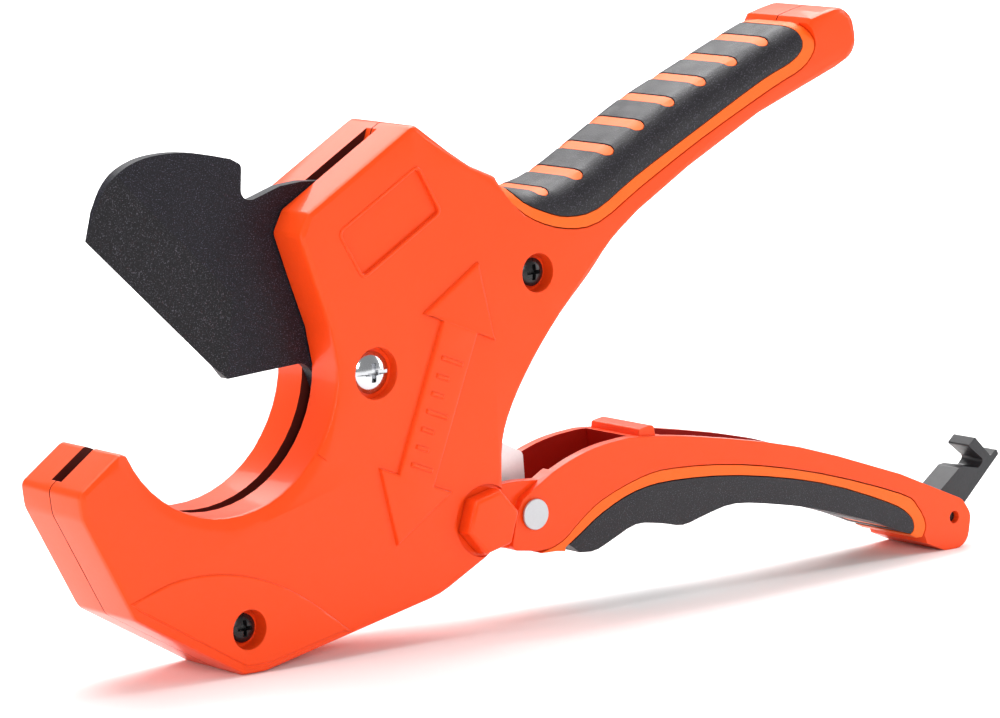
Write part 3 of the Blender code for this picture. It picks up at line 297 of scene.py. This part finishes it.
# ---- bead round the panel ------------------------------------------------------
# A thin bead cast with the near half frames its sunk panel. It stands a little out of
# the face, has rounded corners and a rounded crest, and is painted with the casting.
BEAD_WIDTH, BEAD_RISE, BEAD_CORNER, BEAD_CREST = 0.8, 0.4, 2.0, 0.25
BEAD_ROOT = 0.1
SCREW_SUNK = 1.4
BEAD_CORNERS = ((-52.0, 120.9), (-44.6, 108.1), (-69.7, 93.4), (-77.3, 106.0))
near_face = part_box("lower_body_screw")[0].y - SCREW_SUNK * MM
bead = bmesh.new()
bead.faces.new([bead.verts.new((x * MM, near_face + BEAD_ROOT * MM, z * MM))
                for x, z in BEAD_CORNERS])
bmesh.ops.bevel(bead, geom=bead.verts[:], offset=BEAD_CORNER * MM, segments=4, profile=0.5,
                affect="VERTICES", material=-1)
ring = bmesh.ops.inset_region(bead, faces=bead.faces[:], thickness=BEAD_WIDTH * MM,
                              use_boundary=True, use_even_offset=True)["faces"]
bmesh.ops.delete(bead, geom=[face for face in bead.faces if face not in ring],
                 context="FACES_ONLY")
raised = bmesh.ops.extrude_face_region(bead, geom=ring, use_keep_orig=True)["geom"]
raised = [vert for vert in raised if isinstance(vert, bmesh.types.BMVert)]
bmesh.ops.translate(bead, verts=raised, vec=(0.0, -BEAD_RISE * MM, 0.0))
crest = [edge for edge in bead.edges if all(vert in raised for vert in edge.verts)
         and len(edge.link_faces) == 2
         and any(abs(face.normal.y) < 0.5 for face in edge.link_faces)]
bead.normal_update()
bmesh.ops.bevel(bead, geom=crest, offset=BEAD_CREST * MM, segments=2, profile=0.5, affect="EDGES",
                material=-1)
bmesh.ops.recalc_face_normals(bead, faces=bead.faces)
bead_mesh = bpy.data.meshes.new("panel_bead")
bead.to_mesh(bead_mesh)
bead.free()
bead_mesh.materials.append(ORANGE_ENAMEL)
panel_bead = bpy.data.objects.new("panel_bead", bead_mesh)
bpy.context.scene.collection.objects.link(panel_bead)
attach(panel_bead, "body")

# ---- blade -------------------------------------------------------------------
# Tool-steel plate under a matt non-stick coating, ground to a long bevel on both faces;
# the coating shows a fine sparkle and the bevel keeps upright grinding lines.
COATED_STEEL = skinned("coated_steel", (0.008, 0.0075, 0.011), 0.42, vary=0.5, spread=0.25,
                       grain=3200.0, cloud=150.0, bump=0.35, specular=0.2, speckle=9.0)
GROUND_STEEL = skinned("ground_steel", (0.0095, 0.009, 0.011), 0.38, vary=0.5, spread=0.25,
                       grain=3200.0, cloud=150.0, bump=0.35, specular=0.18, speckle=9.0)
GRIND_PITCH = 0.0011
GRIND_DEPTH = 0.00006
GROUND_FACING = (0.9, 0.9995)      # how nearly a ground face points along Y

tree = GROUND_STEEL.node_tree
shader = tree.nodes["Principled BSDF"]
place = tree.nodes.new("ShaderNodeTexCoord")
lines = tree.nodes.new("ShaderNodeTexWave")
lines.wave_type, lines.bands_direction = "BANDS", "X"
lines.inputs["Scale"].default_value = math.pi / (10.0 * GRIND_PITCH)
lines.inputs["Distortion"].default_value = 0.6
lines.inputs["Detail"].default_value = 1.0
link(tree, place.outputs["Object"], lines.inputs["Vector"])
scratches = tree.nodes.new("ShaderNodeBump")
scratches.inputs["Strength"].default_value = 0.38
scratches.inputs["Distance"].default_value = GRIND_DEPTH
link(tree, lines.outputs["Fac"], scratches.inputs["Height"])
link(tree, shader.inputs["Normal"].links[0].from_socket, scratches.inputs["Normal"])
link(tree, scratches.outputs["Normal"], shader.inputs["Normal"])

blade = rounded_copy("cutting_blade", "blade", "blade", COATED_STEEL, sharp=25.0,
                     soften=0.12)
blade.data.materials.append(GROUND_STEEL)
for face in blade.data.polygons:
    if GROUND_FACING[0] < abs(face.normal.y) < GROUND_FACING[1]:
        face.material_index = 1

# ---- screws, nuts and pins -----------------------------------------------------
# The blade turns on a chrome-plated pan-head screw with a slot and a cross. Two screws
# in black oxide hold the castings together, deep in their holes, and the hidden nuts,
# pins and bushes are zinc-plated or black.
CHROME = skinned("chrome", (0.62, 0.63, 0.65), 0.14, vary=0.04, spread=0.05, grain=700.0,
                 bump=0.04, metallic=1.0)
ZINC_STEEL = skinned("zinc_steel", (0.66, 0.67, 0.69), 0.3, vary=0.18, spread=0.2, grain=1400.0,
                     cloud=180.0, bump=0.15, metallic=1.0)
BLACK_OXIDE = skinned("black_oxide", (0.009, 0.009, 0.01), 0.3, vary=0.3, spread=0.2,
                      grain=1500.0, bump=0.15, specular=0.4)
TURNING_STEPS = 48
DOME_ARC, DOME_STEPS = 1.15, 8      # the head's dome, in radians from its middle to its rim
HEAD_RIM, SHANK_SHARE, SHANK_CHAMFER = 0.8, 0.56, 0.4
SLOT_DEPTH, CUT_CLEARANCE = 1.1, 1.0
BAR_LENGTH_TAPER, BAR_WIDTH_TAPER = 0.6, 0.8


def new_piece(name, shape, material):
    """Object from a finished bmesh, smooth shaded, at the origin."""
    mesh = bpy.data.meshes.new(name)
    bmesh.ops.recalc_face_normals(shape, faces=shape.faces)
    shape.to_mesh(mesh)
    shape.free()
    mesh.materials.append(material)
    for face in mesh.polygons:
        face.use_smooth = True
    mesh.set_sharp_from_angle(angle=math.radians(35.0))
    piece = bpy.data.objects.new(name, mesh)
    bpy.context.scene.collection.objects.link(piece)
    return piece


def turned_shape(profile, centre):
    """Closed bmesh: (radius, y) points turned about an axis along Y through centre."""
    shape = bmesh.new()
    verts = [shape.verts.new((centre.x + radius * MM, y * MM, centre.z))
             for radius, y in profile]
    edges = [shape.edges.new(pair) for pair in zip(verts, verts[1:])]
    bmesh.ops.spin(shape, geom=verts + edges, cent=(centre.x, 0.0, centre.z),
                   axis=(0.0, 1.0, 0.0), angle=2 * math.pi, steps=TURNING_STEPS,
                   use_merge=True)
    bmesh.ops.remove_doubles(shape, verts=shape.verts, dist=0.001 * MM)
    return shape


def recess_bar(length, width, top, bottom, centre, turn):
    """Bmesh of a bar narrowing inward, to cut one arm pair of a driver recess."""
    shape = bmesh.new()
    bmesh.ops.create_cube(shape, size=1.0)
    turned = Matrix.Rotation(turn, 4, "Y")
    for vert in shape.verts:
        deep = vert.co.y > 0
        along = vert.co.x * length * (BAR_LENGTH_TAPER if deep else 1.0)
        across = vert.co.z * width * (BAR_WIDTH_TAPER if deep else 1.0)
        level = bottom if deep else top
        vert.co = turned @ Vector((along * MM, 0.0, across * MM))
        vert.co += Vector((centre.x, level * MM, centre.z))
    return shape


def carve(piece, tool):
    """Cut a tool shape out of a piece for good."""
    mesh = bpy.data.meshes.new("tool")
    bmesh.ops.recalc_face_normals(tool, faces=tool.faces)
    tool.to_mesh(mesh)
    tool.free()
    cutter = bpy.data.objects.new("tool", mesh)
    bpy.context.scene.collection.objects.link(cutter)
    cut = piece.modifiers.new("cut", "BOOLEAN")
    cut.object = cutter
    cut.solver = "EXACT"
    graph = bpy.context.evaluated_depsgraph_get()
    graph.update()
    carved = bpy.data.meshes.new_from_object(piece.evaluated_get(graph))
    piece.modifiers.clear()
    piece.data = carved
    bpy.data.objects.remove(cutter)
    for face in carved.polygons:
        face.use_smooth = True
    carved.set_sharp_from_angle(angle=math.radians(30.0))


def middle(node):
    """Centre of a node's box in metres, and its two corners in millimetres."""
    low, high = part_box(node)
    return (low + high) / 2, low / MM, high / MM


def pan_head(name, node, material, dome, arm, width, depth, slot_width=0.0):
    """A domed screw head with its shank, a cross cut in it, and a slot if it has one."""
    centre, low, high = middle(node)
    radius = (high.x - low.x) / 2
    top = low.y
    rise = [(radius * math.sin(a), top + dome * (1 - math.cos(a)) / (1 - math.cos(DOME_ARC)))
            for a in (DOME_ARC * k / DOME_STEPS for k in range(DOME_STEPS + 1))]
    rise = [(r * radius / rise[-1][0], y) for r, y in rise]
    shank = radius * SHANK_SHARE
    seat = top + dome + HEAD_RIM
    profile = [*rise, (radius, seat), (shank, seat), (shank, high.y - SHANK_CHAMFER),
               (shank - SHANK_CHAMFER, high.y), (0.0, high.y)]
    piece = new_piece(name, turned_shape(profile, centre), material)
    above = top - CUT_CLEARANCE
    for turn in (0.0, math.pi / 2):
        carve(piece, recess_bar(2 * arm, width, above, top + depth, centre, turn))
    if slot_width:
        carve(piece, recess_bar(4 * radius, slot_width, above, top + SLOT_DEPTH, centre, 0.0))
    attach(piece, "body")
    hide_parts(node)


def coat_hidden(material, *names):
    """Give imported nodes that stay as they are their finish."""
    for node in names:
        nodes[node].data.materials.clear()
        nodes[node].data.materials.append(material)


pan_head("blade_screw", "blade_pivot_screw", CHROME, dome=1.5, arm=2.9, width=1.5,
         depth=1.9, slot_width=1.1)
for tag in ("lower", "rear"):
    pan_head(f"{tag}_casting_screw", f"{tag}_body_screw", BLACK_OXIDE, dome=1.1,
             arm=2.5, width=1.15, depth=1.9)

coat_hidden(ZINC_STEEL, "blade_pivot_nut", "blade_pivot_bush", "lever_pivot_sleeve",
            "pawl_spacer", "holding_pawl", "holding_pawl_pin", "blade_spring_pin",
            "spring_post")
coat_hidden(BLACK_OXIDE, "lower_body_nut", "rear_body_nut", "latch_pin")

# ---- springs -------------------------------------------------------------------
# Hard drawn spring wire, wound and left bright: one pulls the blade open, one turns the
# lever out and one presses the holding pawl. The drive pawl's small spring is blackened.
SPRING_WIRE = skinned("spring_wire", (0.34, 0.34, 0.36), 0.3, vary=0.2, spread=0.2, grain=1800.0,
                      bump=0.1, metallic=1.0)
coat_hidden(SPRING_WIRE, "blade_return_spring", "lever_return_spring", "holding_pawl_spring")
coat_hidden(BLACK_OXIDE, "drive_pawl_spring")

# ---- lever, its bolt and the drive pawl ------------------------------------------
# Pressed steel trough in the same enamel, its inner walls painted darker as painted shade
# inside the channel, hung on a hexagonal bolt that was painted with it; the pawl is bright
# zinc-plated steel on a riveted pin.
TROUGH_HALF = 8.6
trough = rounded_copy("lever_trough", "lever", "lever", ORANGE_ENAMEL,
                      soften=0.25)
# The trough's inward-facing walls take the darker painted shade.
trough.data.materials.append(TROUGH_PAINTED_SHADE)
for face in trough.data.polygons:
    inner = all(abs(trough.data.vertices[v].co.y) < TROUGH_HALF * MM for v in face.vertices)
    if inner and face.normal.y * face.center.y <= 0.0:
        face.material_index = 1
for name, node in (("lever_bolt", "lever_pivot_bolt"), ("lever_cap_nut", "lever_pivot_nut")):
    rounded_copy(name, node, "body", ORANGE_ENAMEL, soften=0.3, sharp=25.0)
PALE_RIVET = skinned("pale_rivet", (0.54, 0.56, 0.58), 0.42, vary=0.12, spread=0.2, grain=1300.0,
                     cloud=250.0, bump=0.2, metallic=0.6)
rounded_copy("drive_pawl_rivet", "pawl_rivet", "lever", PALE_RIVET, soften=0.25)
BRIGHT_STEEL = skinned("bright_steel", (0.85, 0.86, 0.87), 0.4, vary=0.1, spread=0.2,
                       grain=1300.0, cloud=250.0, bump=0.2, metallic=0.25)
rounded_copy("ratchet_drive_pawl", "drive_pawl", "drive_pawl", BRIGHT_STEEL,
             soften=0.25)

# ---- tail latch --------------------------------------------------------------------
# One moulding in black glass-filled nylon with a satin skin, which swings on a pin
# through the lever's tail and hooks over the fixed handle.
NYLON = skinned("black_nylon", (0.02, 0.02, 0.023), 0.36, vary=0.5, spread=0.2, grain=1200.0,
                cloud=300.0, bump=0.2, specular=0.4)
rounded_copy("tail_latch", "latch_hook", "latch", NYLON, soften=0.3)

# ---- grips -------------------------------------------------------------------------
# Orange carriers clipped over the metal; a soft black rubber is moulded over them, and
# the carriers' bars show through it as stripes. The rubber has a fine matt grain.
CARRIER = skinned("orange_carrier", (0.95, 0.13, 0.015), 0.42, vary=0.08, spread=0.12,
                  grain=1000.0, cloud=60.0, bump=0.15, specular=0.3,
                  specular_tint=(1.0, 0.75, 0.5))
RUBBER = skinned("grip_rubber", (0.010, 0.009, 0.012), 0.46, vary=0.4, spread=0.3, grain=3000.0,
                 cloud=200.0, bump=0.6, bump_depth=0.00015, specular=0.35, speckle=6.0)
GRIP_CREASE = 40.0
for handle, body in (("handle", "body"), ("lever", "lever")):
    rounded_copy(f"{handle}_carrier", f"{handle}_grip_carrier", body, CARRIER,
                 sharp=GRIP_CREASE)
    rounded_copy(f"{handle}_rubber", f"{handle}_grip_pad", body, RUBBER,
                 sharp=GRIP_CREASE)
